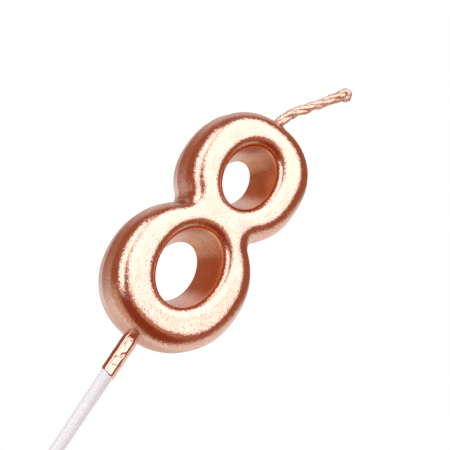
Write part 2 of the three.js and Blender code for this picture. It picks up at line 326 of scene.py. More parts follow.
def loops(inset):
    """The closed boundary of each half of the figure: its stretch of outline and the chord."""
    edge = OUTLINE - inset * OUTLINE_NORMALS
    upper, lower = outline_columns()
    upper_loop = np.vstack([edge[upper], chord(edge[upper[-1]], edge[upper[0]])])
    lower_loop = np.vstack([edge[lower], chord(edge[lower[-1]], edge[lower[0]])])
    return (upper_loop, UPPER_COUNTER), (lower_loop, LOWER_COUNTER)


def across_stroke(inner, outer, rows):
    share = (1 - np.cos(np.linspace(0, math.pi, rows + 1))) / 2
    return inner[None] + share[:, None, None] * (outer - inner)[None]


def counter_wall_profile():
    """From the rim to the back face: how far the rim's ellipse moves outward, and the depth."""
    rim = DISH["deep"]
    wall_end = THICKNESS - COUNTER_BACK_ROUND
    depth = np.linspace(rim, wall_end, WALL_ROWS + 1)
    wider = -COUNTER_DRAFT * (depth - rim)
    turn = np.linspace(0, math.pi / 2, ROUND_ROWS + 1)[1:]
    lip_wider = wider[-1] + COUNTER_BACK_ROUND * (1 - np.cos(turn))
    lip_depth = wall_end + COUNTER_BACK_ROUND * np.sin(turn)
    return np.concatenate([wider, lip_wider]), np.concatenate([depth, lip_depth])


def outer_wall_profile():
    """From the shoulder to the back face: the inset from the outline, and the depth."""
    wall_end = THICKNESS - BACK_ROUND
    front = np.linspace(SHOULDER["deep"], PARTING["depth"], WALL_ROWS + 1)
    back = np.linspace(PARTING["depth"], wall_end, WALL_ROWS + 1)[1:]
    wall = np.concatenate([front, back])
    turn = np.linspace(0, math.pi / 2, ROUND_ROWS + 1)[1:]
    round_inset = wall_inset(wall_end) + BACK_ROUND * (1 - np.cos(turn))
    inset = np.concatenate([wall_inset(wall), round_inset])
    return inset, np.concatenate([wall, wall_end + BACK_ROUND * np.sin(turn)])


def wave(place, size):
    """A smooth random value between about -1 and 1 that changes over a length."""
    return noise.noise(Vector(place) / size)


def read_vertices(data, what):
    values = np.empty(3 * len(data.vertices))
    data.vertices.foreach_get(what, values)
    return values.reshape(-1, 3)


def make_uneven(data):
    """The casting's slight unevenness, and the lacquer that crept up the wick."""
    place = read_vertices(data, "co") / MM
    on_figure = place - [FIGURE_X, CREST_Y, FIGURE_Z]
    push = np.zeros(len(place))
    for kind in UNEVENNESS:
        push += kind["height"] * np.array([wave(spot, kind["size"]) for spot in place])
    from_wick = np.linalg.norm(on_figure - np.array(WICK_EXIT), axis=1)
    near = np.clip(1 - from_wick / COLLAR["reach"], 0, 1)
    push += COLLAR["height"] * near ** 2 * (3 - 2 * near)
    place += read_vertices(data, "normal") * push[:, None]
    data.vertices.foreach_set("co", (place * MM).ravel())
    data.update()


def mark_counters(data):
    """Vertex values: "counter" is 1 on the counters' walls, "lip" is 1 on the line round their rim."""
    spots = read_vertices(data, "co") / MM
    across = spots[:, [0, 2]] - [FIGURE_X, FIGURE_Z]
    depth = spots[:, 1] - CREST_Y
    counter_share = np.zeros(len(spots))
    lip_share = np.zeros(len(spots))
    for counter, rim in ((LOWER_COUNTER, LOWER_RIM), (UPPER_COUNTER, UPPER_RIM)):
        x = across[:, 0] / counter["half_width"]
        z = (across[:, 1] - counter["z"]) / counter["half_height"]
        gap = distance_to(across, rim) * np.sign(x ** 2 + z ** 2 - 1)
        counter_share = np.maximum(counter_share, np.clip(1 - gap / LIP_HALF_WIDTH, 0, 1))
        from_lip = np.hypot(gap, depth - DISH["deep"])
        lip_share = np.maximum(lip_share, np.clip(1.4 - from_lip / LIP_HALF_WIDTH, 0, 1))
    counter_share *= depth < THICKNESS - BACK_MARGIN
    for name, share in (("counter", counter_share), ("lip", lip_share)):
        data.attributes.new(name, "FLOAT", "POINT").data.foreach_set("value", share)


def figure_mesh():
    patches = Patches()
    wider, wall_depth = counter_wall_profile()
    inset, depth_of_wall = outer_wall_profile()
    for (front, counter), (back, _) in zip(loops(inset[0]), loops(inset[-1])):
        stroke = across_stroke(ring_of(front, counter, 0.0), front, STROKE_ROWS)
        depth = front_depth(stroke.reshape(-1, 2)).reshape(stroke.shape[:2])
        patches.grid(placed(stroke, depth), closed=True)
        wall = np.stack([ring_of(front, counter, w) for w in wider])
        patches.grid(placed(wall, wall_depth[:, None]), closed=True)
        hole_edge = ring_of(front, counter, wider[-1])
        patches.grid(placed(across_stroke(hole_edge, back, BACK_ROWS), THICKNESS), closed=True)
    upper, lower = outline_columns()
    around = np.concatenate([upper[:-1], lower[:-1]])
    wall = OUTLINE[around][None] - inset[:, None, None] * OUTLINE_NORMALS[around][None]
    patches.grid(placed(wall, depth_of_wall[:, None]), closed=True)
    data = patches.mesh("lacquered_figure")
    make_uneven(data)
    mark_counters(data)
    return data


# ---- The pick and the lacquer on it ----
PICK_SIDES = 128
AXIS_RADIUS = 0.001  # small enough for a ring's points to be welded into one
PICK_ROWS = {"tip": 8, "point": 24, "shaft": 90}
BALL_SHARE = 0.6  # how far the tip's rounding reaches, as a share of its radius
PARTING_LINE = {"height": 0.03, "half_width": 0.05}
SLIMMED = {"by": 0.1, "from": 0.8, "over": 0.4}  # the pick under the film, clear of the film's dents
FILM = {"edge_taper": 0.35, "top": 8.25, "rows": 160, "sunk": 0.01, "inside": 0.3}
# The film's lower edge rises and falls round the pick: by how much, how often, and turned how far.
EDGE_WAVES = [
    {"height": -0.32, "times": 1, "turn": 0.26 + math.pi / 2},
    {"height": 0.08, "times": 2, "turn": 2.0},
    {"height": 0.05, "times": 5, "turn": 0.0},
]
# Flats pressed round the film.
FACETS = {"azimuths": (-84, -20, 52, 124, 200), "radius": 1.39, "power": 6.0}
# Random dents: their size round the pick and along it, and their height.
DENTS = [{"size": (0.95, 1.5), "height": 0.050}, {"size": (0.45, 0.6), "height": 0.012}]
# Creases pressed into the film: where each is, its size across and along its own slant, and its depth.
CREASES = [
    {"azimuth": 4, "z": 4.2, "slant": 20, "across": 0.34, "along": 0.62, "depth": 0.22},
    {"azimuth": -20, "z": 5.9, "slant": -14, "across": 0.12, "along": 0.85, "depth": 0.075},
    {"azimuth": -30, "z": 3.3, "slant": 50, "across": 0.11, "along": 0.70, "depth": 0.070},
    {"azimuth": -12, "z": 1.8, "slant": 76, "across": 0.10, "along": 0.65, "depth": 0.060},
]
AROUND = np.linspace(0, 2 * math.pi, PICK_SIDES + 1)[:-1]


def pick_radius(z):
    return PICK["top_radius"] - PICK["taper"] * (FIGURE_Z - z)


def turned(radius, height):
    """Rings of points about the pick's axis, one row for each height."""
    radius, height, _ = np.broadcast_arrays(radius, height, AROUND)
    return np.stack([radius * np.cos(AROUND), radius * np.sin(AROUND), height], axis=-1)


def pick_mesh():
    low, high = PICK_LOW.z, PICK_HIGH.z
    point = low + PICK["point_length"]
    share = np.linspace(0, 1, PICK_ROWS["point"])
    widening = np.sin(share * math.pi / 2) ** 0.9
    sharp = PICK["tip_radius"] + (pick_radius(point) - PICK["tip_radius"]) * widening
    tip = np.linspace(0, math.pi / 2, PICK_ROWS["tip"])
    ball = PICK["tip_radius"] * BALL_SHARE
    shaft = np.linspace(point, high, PICK_ROWS["shaft"])[1:]
    heights = np.concatenate([
        low + ball * (1 - np.cos(tip)),
        low + ball + share[1:] * (PICK["point_length"] - ball),
        shaft,
    ])
    radii = np.concatenate([
        np.maximum(PICK["tip_radius"] * np.sin(tip), AXIS_RADIUS),
        sharp[1:],
        pick_radius(shaft),
    ])
    radii = radii - SLIMMED["by"] * np.clip((heights - SLIMMED["from"]) / SLIMMED["over"], 0, 1)
    seam = np.exp(-(np.sin(AROUND) / PARTING_LINE["half_width"]) ** 2) * PARTING_LINE["height"]
    full = np.clip(radii / PICK["top_radius"], 0, 1)[:, None]
    patches = Patches()
    patches.grid(turned(radii[:, None] + seam * full, heights[:, None]), closed=True)
    patches.grid(turned(np.array([[radii[-1]], [AXIS_RADIUS]]), high), closed=True)
    return patches.mesh("pick_body")


def azimuth_turn(azimuth):
    """The angle round the pick's axis for an azimuth, which is 0 in front and 90 at the right."""
    return math.radians(azimuth - 90)


def facet_radius():
    """The film's radius round the pick: a polygon with soft edges."""
    total = np.zeros(PICK_SIDES)
    for azimuth in FACETS["azimuths"]:
        facing = np.clip(np.cos(AROUND - azimuth_turn(azimuth)), 0, None)
        total += facing ** FACETS["power"]
    return FACETS["radius"] / total ** (1 / FACETS["power"])


def dents(height):
    """The film's hammered relief at each height and angle."""
    relief = np.zeros(height.shape)
    for kind in DENTS:
        across, along = kind["size"]
        for row, column in np.ndindex(height.shape):
            x = PICK["top_radius"] * math.cos(AROUND[column]) / across
            y = PICK["top_radius"] * math.sin(AROUND[column]) / across
            z = height[row, column] / along
            relief[row, column] += kind["height"] * noise.noise(Vector((x, y, z)))
    for crease in CREASES:
        turn = AROUND - azimuth_turn(crease["azimuth"])
        across = PICK["top_radius"] * np.arctan2(np.sin(turn), np.cos(turn))
        up = height - crease["z"]
        slant = math.radians(crease["slant"])
        off_line = (across * math.cos(slant) - up * math.sin(slant)) / crease["across"]
        on_line = (across * math.sin(slant) + up * math.cos(slant)) / crease["along"]
        relief -= crease["depth"] * np.exp(-off_line ** 2 - on_line ** 2)
    return relief


def sleeve_mesh():
    """Lacquer on the pick's top: it ends in an uneven edge that hangs lower at the right."""
    edge = sum(rise["height"] * np.sin(rise["times"] * AROUND + rise["turn"]) for rise in EDGE_WAVES)
    share = np.linspace(0, 1, FILM["rows"])[:, None]
    height = edge + share * (FILM["top"] - edge)
    from_edge = np.clip((height - edge) / FILM["edge_taper"], 0, 1)
    full = np.sqrt(from_edge * (2 - from_edge))
    at_pick = pick_radius(height) - FILM["sunk"]
    radius = at_pick + full * (facet_radius() + dents(height) - at_pick)
    inner = np.full_like(radius[:1], PICK["top_radius"] - FILM["inside"])
    rows = [
        turned(inner, height[:1]), turned(radius, height),
        turned(inner, height[-1:]), turned(inner, height[:1]),
    ]
    patches = Patches()
    patches.grid(np.concatenate(rows), closed=True)
    return patches.mesh("pick_lacquer_film")


# ---- The wick ----
WICK = {"strands": 3, "offset": 0.38, "radius": 0.57, "pitch": 10.5}
WICK_LUMPS = [{"size": 1.1, "share": 0.28}, {"size": 0.40, "share": 0.12}, {"size": 0.17, "share": 0.05}]
WICK_SWELL = {"base": 0.14, "end": 0.20, "over": 2.5}
CURL = {"radius": 0.66, "turn": 4.6}  # the first strand's end curls round the others
WICK_UNDERSIDE = (0.84, 0.0, -0.55)  # the way that the lower side of the leaning free end faces
SPAN_STEPS = 60
STRAND_SIDES = 28
FIBRE_LAY = {"turn": 2.4, "stretch": 0.12}  # how the fibres wind round a strand, for each mm along it
FREE_FROM = 47.0  # on the figure: above this height the wick is seen and gets a fine mesh
FREE_STEP = 0.07
HIDDEN_STEP = 0.5


def through(points):
    """A smooth line through points (Catmull-Rom)."""
    points = np.array(points, float)
    padded = np.vstack([2 * points[0] - points[1], points, 2 * points[-1] - points[-2]])
    t = np.linspace(0, 1, SPAN_STEPS + 1)[:-1, None]
    spans = []
    for a, b, c, d in zip(padded, padded[1:], padded[2:], padded[3:]):
        squared = (2 * a - 5 * b + 4 * c - d) * t ** 2
        cubed = (3 * b - a - 3 * c + d) * t ** 3
        spans.append(0.5 * (2 * b + (c - a) * t + squared + cubed))
    return np.vstack(spans + [points[-1:]])


def spaced(line, distances):
    along = np.concatenate([[0], np.cumsum(np.linalg.norm(np.diff(line, axis=0), axis=1))])
    return np.stack([np.interp(distances, along, line[:, k]) for k in range(3)], axis=1), along[-1]


def side_frames(line):
    """Two directions across a line at each of its points, carried along without turning."""
    along = np.gradient(line, axis=0)
    along /= np.linalg.norm(along, axis=1)[:, None]
    side = np.cross(along[0], [0, 1, 0])
    sides = []
    for forward in along:
        side = side - forward * (side @ forward)
        side = side / np.linalg.norm(side)
        sides.append(side)
    sides = np.array(sides)
    return sides, np.cross(along, sides)


def curled_end(line, inward):
    """The end of a strand, carried on round a small circle towards one side."""
    forward = line[-1] - line[-2]
    forward /= np.linalg.norm(forward)
    inward = inward - forward * (inward @ forward)
    inward /= np.linalg.norm(inward)
    turn = np.arange(FREE_STEP, CURL["turn"] * CURL["radius"], FREE_STEP)[:, None] / CURL["radius"]
    return line[-1] + CURL["radius"] * (np.sin(turn) * forward + (1 - np.cos(turn)) * inward)


def strand_line(number):
    """One strand's centre line on the figure, and its distance along the wick."""
    centre = through(WICK_ROUTE)
    _, length = spaced(centre, [0])
    along = np.arange(0, length, FREE_STEP)
    line, _ = spaced(centre, along)
    first_free = int(np.argmax(line[:, 2] > FREE_FROM))
    one, two = side_frames(line)
    turn = 2 * math.pi * ((along - length) / WICK["pitch"] + number / WICK["strands"])
    away = np.cos(turn)[:, None] * one + np.sin(turn)[:, None] * two
    strand = line + WICK["offset"] * away
    if number == 0:
        curl = curled_end(strand, -away[-1])
        along = np.concatenate([along, along[-1] + FREE_STEP * np.arange(1, len(curl) + 1)])
        strand = np.vstack([strand, curl])
    hidden = np.arange(0, first_free, round(HIDDEN_STEP / FREE_STEP))
    keep = np.concatenate([hidden, np.arange(first_free, len(strand))])
    return strand[keep], along[keep], along[first_free], length


def strand_radius(along, first_free, length):
    """The strand swells where the wick leaves the wax and at its end, and is blunt at both tips."""
    swell = 1 + WICK_SWELL["base"] * np.exp(-((along - first_free) / WICK_SWELL["over"]) ** 2)
    swell += WICK_SWELL["end"] * np.exp(-((along - length) / WICK_SWELL["over"]) ** 2)
    to_end = np.minimum(along - along[0], along[-1] - along) / WICK["radius"]
    blunt = np.sqrt(np.clip(to_end * (2 - to_end), 0.0004, 1) * (to_end < 1) + (to_end >= 1))
    return WICK["radius"] * swell * blunt


def strand_mesh(number):
    line, along, first_free, length = strand_line(number)
    radius = strand_radius(along, first_free, length)
    one, two = side_frames(line)
    around = np.linspace(0, 2 * math.pi, STRAND_SIDES + 1)[:-1]
    rows = []
    fibres = []
    for k, centre in enumerate(line):
        for angle in around:
            out = math.cos(angle) * one[k] + math.sin(angle) * two[k]
            spot = centre + WICK["radius"] * out
            lumps = 1 + sum(kind["share"] * wave(spot, kind["size"]) for kind in WICK_LUMPS)
            rows.append(centre + radius[k] * lumps * out)
            lay = angle + FIBRE_LAY["turn"] * along[k]
            fibres.append((math.cos(lay), math.sin(lay), FIBRE_LAY["stretch"] * along[k]))
    rows = np.array(rows).reshape(len(line), STRAND_SIDES, 3)
    patches = Patches()
    patches.grid(placed(rows[..., [0, 2]], rows[..., 1]), closed=True)
    data = patches.mesh(f"yarn_{number + 1}", weld=False)
    fibre = data.attributes.new("fibre", "FLOAT_VECTOR", "POINT")
    fibre.data.foreach_set("vector", np.array(fibres).ravel())
    return data


def add_piece(name, data):
    piece = bpy.data.objects.new(name, data)
    bpy.context.scene.collection.objects.link(piece)
    return piece


# ---- Camera ----
CAMERA = {"azimuth": -14.68, "elevation": -16.73, "roll": 33.65, "distance": 469.0}
CAMERA_AIM = (0.70, 0.0, 25.24)  # on the figure: across, behind the crest, up
FOCAL_SHARE = 2588.0 / 450  # focal length over the picture's side
SENSOR = 36.0


def make_camera():
    azimuth, elevation, roll = (math.radians(CAMERA[k]) for k in ("azimuth", "elevation", "roll"))
    back = Vector((
        math.sin(azimuth) * math.cos(elevation),
        -math.cos(azimuth) * math.cos(elevation),
        math.sin(elevation),
    ))
    level = Vector((math.cos(azimuth), math.sin(azimuth), 0))
    upright = back.cross(level)
    right = level * math.cos(roll) + upright * math.sin(roll)
    up = upright * math.cos(roll) - level * math.sin(roll)
    aim = Vector((FIGURE_X + CAMERA_AIM[0], CREST_Y + CAMERA_AIM[1], FIGURE_Z + CAMERA_AIM[2]))
    place = (aim + back * CAMERA["distance"]) * MM
    data = bpy.data.cameras.new("camera")
    data.sensor_width = SENSOR
    data.lens = SENSOR * FOCAL_SHARE
    data.clip_start = 0.01
    data.clip_end = 20
    camera = bpy.data.objects.new("camera", data)
    turn = Matrix((right, up, back)).transposed().to_4x4()
    camera.matrix_world = Matrix.Translation(place) @ turn
    bpy.context.scene.collection.objects.link(camera)
    bpy.context.scene.camera = camera


# ---- Studio ----
# The metal reflects a brown room with oval patches of other colours, and two pale softboxes. The floor
# glows by itself. Directions are seen from the object: azimuth 0 is straight in front of it and 90 at
# its right.
ROOM_COLOUR = (0.44, 0.165, 0.09)
# Later patches cover earlier ones. A patch's reach is from its middle to its edge, in degrees.
PATCHES = [
    {  # the dark of the room below the front
        "azimuth": 15, "elevation": -68, "reach": 52, "reach_up": 48, "edge": 0.4,
        "colour": (0.34, 0.07, 0.03),
    },
    {  # a glow in front, a little below
        "azimuth": 8, "elevation": -17, "reach": 26, "reach_up": 12, "edge": 0.8,
        "colour": (0.75, 0.50, 0.36),
    },
    {  # a glow below and behind
        "azimuth": -165, "elevation": -52, "reach": 34, "reach_up": 27, "edge": 0.3,
        "colour": (0.82, 0.64, 0.54),
    },
    {  # the white sweep behind the object, at its right
        "azimuth": 136, "elevation": -17, "reach": 60, "reach_up": 39, "edge": 0.15,
        "colour": (1.08, 1.15, 1.17),
    },
    {  # a duller card on the sweep
        "azimuth": 166, "elevation": 2, "reach": 22, "reach_up": 32, "edge": 0.15,
        "colour": (0.81, 0.65, 0.58),
    },
    {  # a pale card high behind, at the left
        "azimuth": -162, "elevation": 50, "reach": 23, "reach_up": 26, "edge": 0.35,
        "colour": (0.82, 0.76, 0.78),
    },
]
KEY = {"azimuth": -12, "elevation": 32, "half_angle": 39.5, "radiance": 2.5}
STRIP = {
    "azimuth": -71, "elevation": -6, "half_across": 17.5, "half_up": 38, "radiance": 2.5, "lean": 15,
}
FILLS = [
    {"azimuth": 76, "elevation": -10, "half_angle": 30, "radiance": 1.6},
    {"azimuth": -95, "elevation": -10, "half_angle": 30, "radiance": 1.0},
    {"azimuth": 180, "elevation": 0, "half_angle": 30, "radiance": 2.0},
]
LIGHT_DISTANCE = 0.9
SOFTBOX_COLOUR = (0.72, 1.0, 1.17)
FILL_COLOUR = (0.90, 1.0, 1.12)
STUDIO_CENTRE = Vector((0, -3.4, 32)) * MM
BACKGROUND = (1.0, 1.0, 1.0)
FLOOR_Z = -0.125
FLOOR_SIDE = 6.0


def direction(azimuth, elevation):
    a, e = math.radians(azimuth), math.radians(elevation)
    return Vector((math.sin(a) * math.cos(e), -math.cos(a) * math.cos(e), math.sin(e)))


def light_width(half_angle):
    """How wide a light is that reaches an angle to each side of its middle."""
    return 2 * LIGHT_DISTANCE * math.tan(math.radians(half_angle))


def add_light(name, box, data, area, colour):
    """Puts a light where its box says and turns it to the object."""
    data.energy = box["radiance"] * math.pi * area
    data.color = colour
    light = bpy.data.objects.new(name, data)
    towards = direction(box["azimuth"], box["elevation"])
    light.location = STUDIO_CENTRE + towards * LIGHT_DISTANCE
    lean = Quaternion((0, 0, 1), math.radians(box.get("lean", 0)))
    light.rotation_euler = (towards.to_track_quat("Z", "Y") @ lean).to_euler()
    bpy.context.scene.collection.objects.link(light)
    return light


def add_round_light(name, box, colour):
    width = light_width(box["half_angle"])
    data = bpy.data.lights.new(name, "AREA")
    data.shape = "DISK"
    data.size = width
    return add_light(name, box, data, math.pi * width ** 2 / 4, colour)


def add_strip_light(name, box, colour):
    across, up = light_width(box["half_across"]), light_width(box["half_up"])
    data = bpy.data.lights.new(name, "AREA")
    data.shape = "RECTANGLE"
    data.size = across
    data.size_y = up
    return add_light(name, box, data, across * up, colour)


def add_lights():
    add_round_light("key", KEY, SOFTBOX_COLOUR)
    add_strip_light("strip", STRIP, SOFTBOX_COLOUR)
    # The fills lighten the white pick's shaded sides and don't show in the metal.
    for number, box in enumerate(FILLS):
        fill = add_round_light(f"fill_{number + 1}", box, FILL_COLOUR)
        fill.visible_glossy = False


class Nodes:
    """A short way to add nodes and link them in one tree."""

    def __init__(self, tree):
        self.tree = tree

    def feed(self, node, inputs):
        """Links the inputs that are given as another node's output, and sets the others' values."""
        for key, value in inputs.items():
            if isinstance(value, bpy.types.NodeSocket):
                self.tree.links.new(value, node.inputs[key])
            else:
                node.inputs[key].default_value = value

    def add(self, kind, inputs=None, **settings):
        node = self.tree.nodes.new(kind)
        for key, value in settings.items():
            setattr(node, key, value)
        self.feed(node, inputs or {})
        return node

    def math(self, operation, a, b=0.0, c=0.0):
        node = self.add("ShaderNodeMath", {0: a, 1: b, 2: c}, operation=operation)
        return node.outputs[0]

    def dot(self, a, b):
        return self.add("ShaderNodeVectorMath", {0: a, 1: b}, operation="DOT_PRODUCT").outputs["Value"]

    def ease(self, value, low, high, to_low=0.0, to_high=1.0):
        inputs = {"Value": value, "From Min": low, "From Max": high, "To Min": to_low, "To Max": to_high}
        node = self.add("ShaderNodeMapRange", inputs, interpolation_type="SMOOTHSTEP")
        return node.outputs["Result"]

    def blend(self, share, a, b):
        """A number between a and b."""
        step = self.math("MULTIPLY", share, self.math("SUBTRACT", b, a))
        return self.math("ADD", a, step)

    def mix(self, share, a, b, blend="MIX"):
        node = self.add("ShaderNodeMix", data_type="RGBA", blend_type=blend)
        for socket, value in (("Factor_Float", share), ("A_Color", a), ("B_Color", b)):
            target = next(i for i in node.inputs if i.identifier == socket)
            if isinstance(value, bpy.types.NodeSocket):
                self.tree.links.new(value, target)
            elif isinstance(value, tuple):
                target.default_value = (*value[:3], 1.0)
            else:
                target.default_value = value
        return next(o for o in node.outputs if o.identifier == "Result_Color")


def patch_share(nodes, ray, patch):
    """1 inside an oval patch of the surroundings and 0 outside it, with a soft edge."""
    towards = direction(patch["azimuth"], patch["elevation"])
    across = direction(patch["azimuth"] + 90, 0)
    up = towards.cross(across)
    ahead = nodes.dot(ray, towards)
    x = nodes.dot(ray, across / math.sin(math.radians(patch["reach"])))
    z = nodes.dot(ray, up / math.sin(math.radians(patch["reach_up"])))
    squares = nodes.math("ADD", nodes.math("POWER", x, 2.0), nodes.math("POWER", z, 2.0))
    from_centre = nodes.math("SQRT", squares)
    oval = nodes.ease(from_centre, 1 - patch["edge"], 1 + patch["edge"], 1.0, 0.0)
    return nodes.math("MULTIPLY", oval, nodes.ease(ahead, 0.0, 0.3))


def make_world():
    world = bpy.data.worlds.new("studio")
    world.use_nodes = True
    tree = world.node_tree
    tree.nodes.clear()
    nodes = Nodes(tree)
    ray = nodes.add("ShaderNodeTexCoord").outputs["Generated"]
    colour = ROOM_COLOUR
    for patch in PATCHES:
        colour = nodes.mix(patch_share(nodes, ray, patch), colour, patch["colour"])
    seen = nodes.add("ShaderNodeLightPath").outputs["Is Camera Ray"]
    shown = nodes.mix(seen, colour, BACKGROUND)
    background = nodes.add("ShaderNodeBackground", {"Color": shown, "Strength": 1.0})
    nodes.add("ShaderNodeOutputWorld", {"Surface": background.outputs[0]})
    bpy.context.scene.world = world


def add_floor():
    half = FLOOR_SIDE / 2
    corners = [(-half, -half), (half, -half), (half, half), (-half, half)]
    data = bpy.data.meshes.new("floor")
    data.from_pydata([(x, y, FLOOR_Z) for x, y in corners], [], [(0, 1, 2, 3)])
    floor = bpy.data.objects.new("floor", data)
    bpy.context.scene.collection.objects.link(floor)
    # The floor is only seen by the camera: the metal reflects the room and its sweep instead of it.
    floor.visible_glossy = False
    floor.visible_diffuse = False
    floor.visible_shadow = False
    return floor


# ---- Materials ----
LACQUER = {
    # The lip colour is a painted reflection: a bright orange line round the counters' rims.
    "colour": (0.68, 0.39, 0.285), "lip_reflection_colour": (0.98, 0.46, 0.19), "thin_colour": (0.78, 0.62, 0.58),
    # The counter colours are painted reflection: light bounced between the walls, deep orange near the
    # front and tan towards the back.
    "counter_front_reflection": (0.70, 0.27, 0.12), "counter_back_reflection": (0.72, 0.46, 0.36),
    # The colour for the counters' down-facing upper walls is painted shade.
    "down_wall_shade_colour": (0.58, 0.27, 0.165),
    "roughness": (0.16, 0.22), "counter_roughness": (0.13, 0.19), "sleeve_roughness": (0.09, 0.17),
    "lip_roughness": 0.40, "down_wall_roughness": 0.36,
}
THIN = {"share": 0.8, "from": -0.2, "to": 0.3}  # behind the parting line, where less lacquer fell
FLAKE = {"size": 0.12, "tilt": 0.20, "counter_tilt": 0.12, "sleeve_tilt": 0.05, "shade": 0.14}
PEEL = {"size": 0.45, "height": 0.0004}
RIPPLE = {"size": 0.7, "stretch": 2, "height": 0.012}  # on the sleeve
DRAW_LINES = {"size": 0.22, "stretch": 14, "height": 0.003, "shade": 0.06, "counter_shade": 0.20}
# A few large flakes get a pale colour: painted glints.
PAINTED_GLINT = {"size": 0.9, "share": 0.93, "radius": 0.10, "colour": (0.95, 0.88, 0.80)}
COTTON = {
    # Colours: painted shade between the threads, the threads' own colour, and painted shade in brown
    # patches on the wick's underside.
    "thread_gap_shade": (0.66, 0.38, 0.25), "thread": (0.80, 0.57, 0.44), "bare": (0.42, 0.14, 0.06),
    "thread_height": 0.025, "lump_height": 0.03,
}
PLASTIC = {
    "dark": (0.605, 0.550, 0.520), "light": (0.635, 0.578, 0.545), "mottle": (0.65, 0.59, 0.56),
    "speck": (0.45, 0.40, 0.38), "flow_height": 0.003, "scatter": (1.8, 1.6, 1.6),
}
WAX = {
    "dark": (0.80, 0.70, 0.56), "light": (0.86, 0.79, 0.68), "frost": (0.93, 0.90, 0.84),
    "pit_depth": 0.02, "frost_height": 0.01, "scatter": (1.6, 1.0, 0.6),
}
PAPER = {"size": 60.0, "dark": (0.885, 0.875, 0.875), "light": (0.90, 0.89, 0.89)}


def new_material(name):
    material = bpy.data.materials.new(name)
    material.use_nodes = True
    tree = material.node_tree
    return material, Nodes(tree), tree.nodes["Principled BSDF"]


def scaled(nodes, vector, factor):
    node = nodes.add("ShaderNodeVectorMath", {0: vector, "Scale": factor}, operation="SCALE")
    return node.outputs["Vector"]


def in_millimetres(nodes):
    place = nodes.add("ShaderNodeTexCoord").outputs["Object"]
    return scaled(nodes, place, 1 / MM)


def stretched(nodes, place, factors):
    node = nodes.add("ShaderNodeVectorMath", {0: place, 1: factors}, operation="MULTIPLY")
    return node.outputs["Vector"]


def cloud(nodes, place, size, detail=2.0):
    """Noise from 0 to 1 whose features are about a size across."""
    inputs = {"Vector": place, "Scale": 1 / size, "Detail": detail, "Roughness": 0.55}
    return nodes.add("ShaderNodeTexNoise", inputs).outputs["Fac"]


def cells(nodes, place, size):
    return nodes.add("ShaderNodeTexVoronoi", {"Vector": place, "Scale": 1 / size})


def bumped(nodes, height, millimetres, normal=None):
    inputs = {"Height": height, "Distance": millimetres * MM, "Strength": 1.0}
    if normal is not None:
        inputs["Normal"] = normal
    return nodes.add("ShaderNodeBump", inputs).outputs["Normal"]


def tilted_flakes(nodes, place, amount):
    """The surface normal, tilted at random from flake to flake, and each flake's random colour."""
    random = cells(nodes, place, FLAKE["size"]).outputs["Color"]
    centred = nodes.add("ShaderNodeVectorMath", {0: random, 1: (0.5, 0.5, 0.5)}, operation="SUBTRACT")
    tilt = scaled(nodes, centred.outputs["Vector"], amount)
    normal = nodes.add("ShaderNodeNewGeometry").outputs["Normal"]
    total = nodes.add("ShaderNodeVectorMath", {0: normal, 1: tilt}, operation="ADD")
    unit = nodes.add("ShaderNodeVectorMath", {0: total.outputs["Vector"]}, operation="NORMALIZE")
    return unit.outputs["Vector"], random


def channel(nodes, colour, number):
    return nodes.add("ShaderNodeSeparateColor", {0: colour}).outputs[number]


def lacquer_tint(nodes, place, counter, lip, shaded_down_wall):
    """The lacquer's colour before its grain: thin behind the parting line; painted reflection deepens it
    in the counters, with painted shade on their down-facing upper walls and a painted orange reflection
    line round their rims.
    """
    y = nodes.add("ShaderNodeSeparateXYZ", {0: place}).outputs["Y"]
    parting_y = CREST_Y + PARTING["depth"]
    behind = nodes.ease(y, parting_y + THIN["from"], parting_y + THIN["to"], 0.0, THIN["share"])
    outside = nodes.math("SUBTRACT", 1.0, counter)
    thin = nodes.math("MULTIPLY", behind, outside)
    tint = nodes.mix(thin, LACQUER["colour"], LACQUER["thin_colour"])
    back_share = nodes.ease(y, CREST_Y + DISH["deep"], CREST_Y + THICKNESS)
    # Painted reflection on the counters' walls: deep orange near the front, tan towards the back.
    in_counter = nodes.mix(back_share, LACQUER["counter_front_reflection"], LACQUER["counter_back_reflection"])
    tint = nodes.mix(counter, tint, in_counter)
    # Painted shade on the counters' down-facing upper walls.
    tint = nodes.mix(shaded_down_wall, tint, LACQUER["down_wall_shade_colour"])
    # A painted reflection: a bright orange line round the counters' rims.
    return nodes.mix(lip, tint, LACQUER["lip_reflection_colour"])


def lacquer_shade(nodes, place, counter, wall, lines, random):
    """How much lighter or darker each spot is: large patches, single flakes and the walls' streaks."""
    patchy = nodes.ease(cloud(nodes, place, 3.5), 0.3, 0.7, 0.97, 1.03)
    grain = channel(nodes, random, 0)
    flakes = nodes.ease(grain, 0.0, 1.0, 1 - FLAKE["shade"], 1 + FLAKE["shade"])
    strength = nodes.ease(counter, 0.0, 1.0, DRAW_LINES["shade"], DRAW_LINES["counter_shade"])
    streak = nodes.math("MULTIPLY", wall, nodes.ease(lines, 0.35, 0.65, -0.5, 0.5))
    streak = nodes.math("MULTIPLY", streak, strength)
    return nodes.math("ADD", nodes.math("MULTIPLY", patchy, flakes), streak)


def painted_glints(nodes, place):
    """1 on a few large flakes, which get a pale metal colour as a painted glint."""
    spark = cells(nodes, place, PAINTED_GLINT["size"])
    lucky = nodes.math("GREATER_THAN", channel(nodes, spark.outputs["Color"], 1), PAINTED_GLINT["share"])
    near = nodes.math("LESS_THAN", spark.outputs["Distance"], PAINTED_GLINT["radius"])
    return nodes.math("MULTIPLY", lucky, near)


def lacquer_roughness(nodes, place, counter, lip, shaded_down_wall):
    dull = nodes.ease(cloud(nodes, place, 1.6, 3.0), 0.3, 0.7)
    on_figure = nodes.ease(dull, 0, 1, *LACQUER["roughness"])
    in_counter = nodes.ease(dull, 0, 1, *LACQUER["counter_roughness"])
    rough = nodes.blend(counter, on_figure, in_counter)
    rough = nodes.blend(shaded_down_wall, rough, LACQUER["down_wall_roughness"])
    return nodes.blend(lip, rough, LACQUER["lip_roughness"])


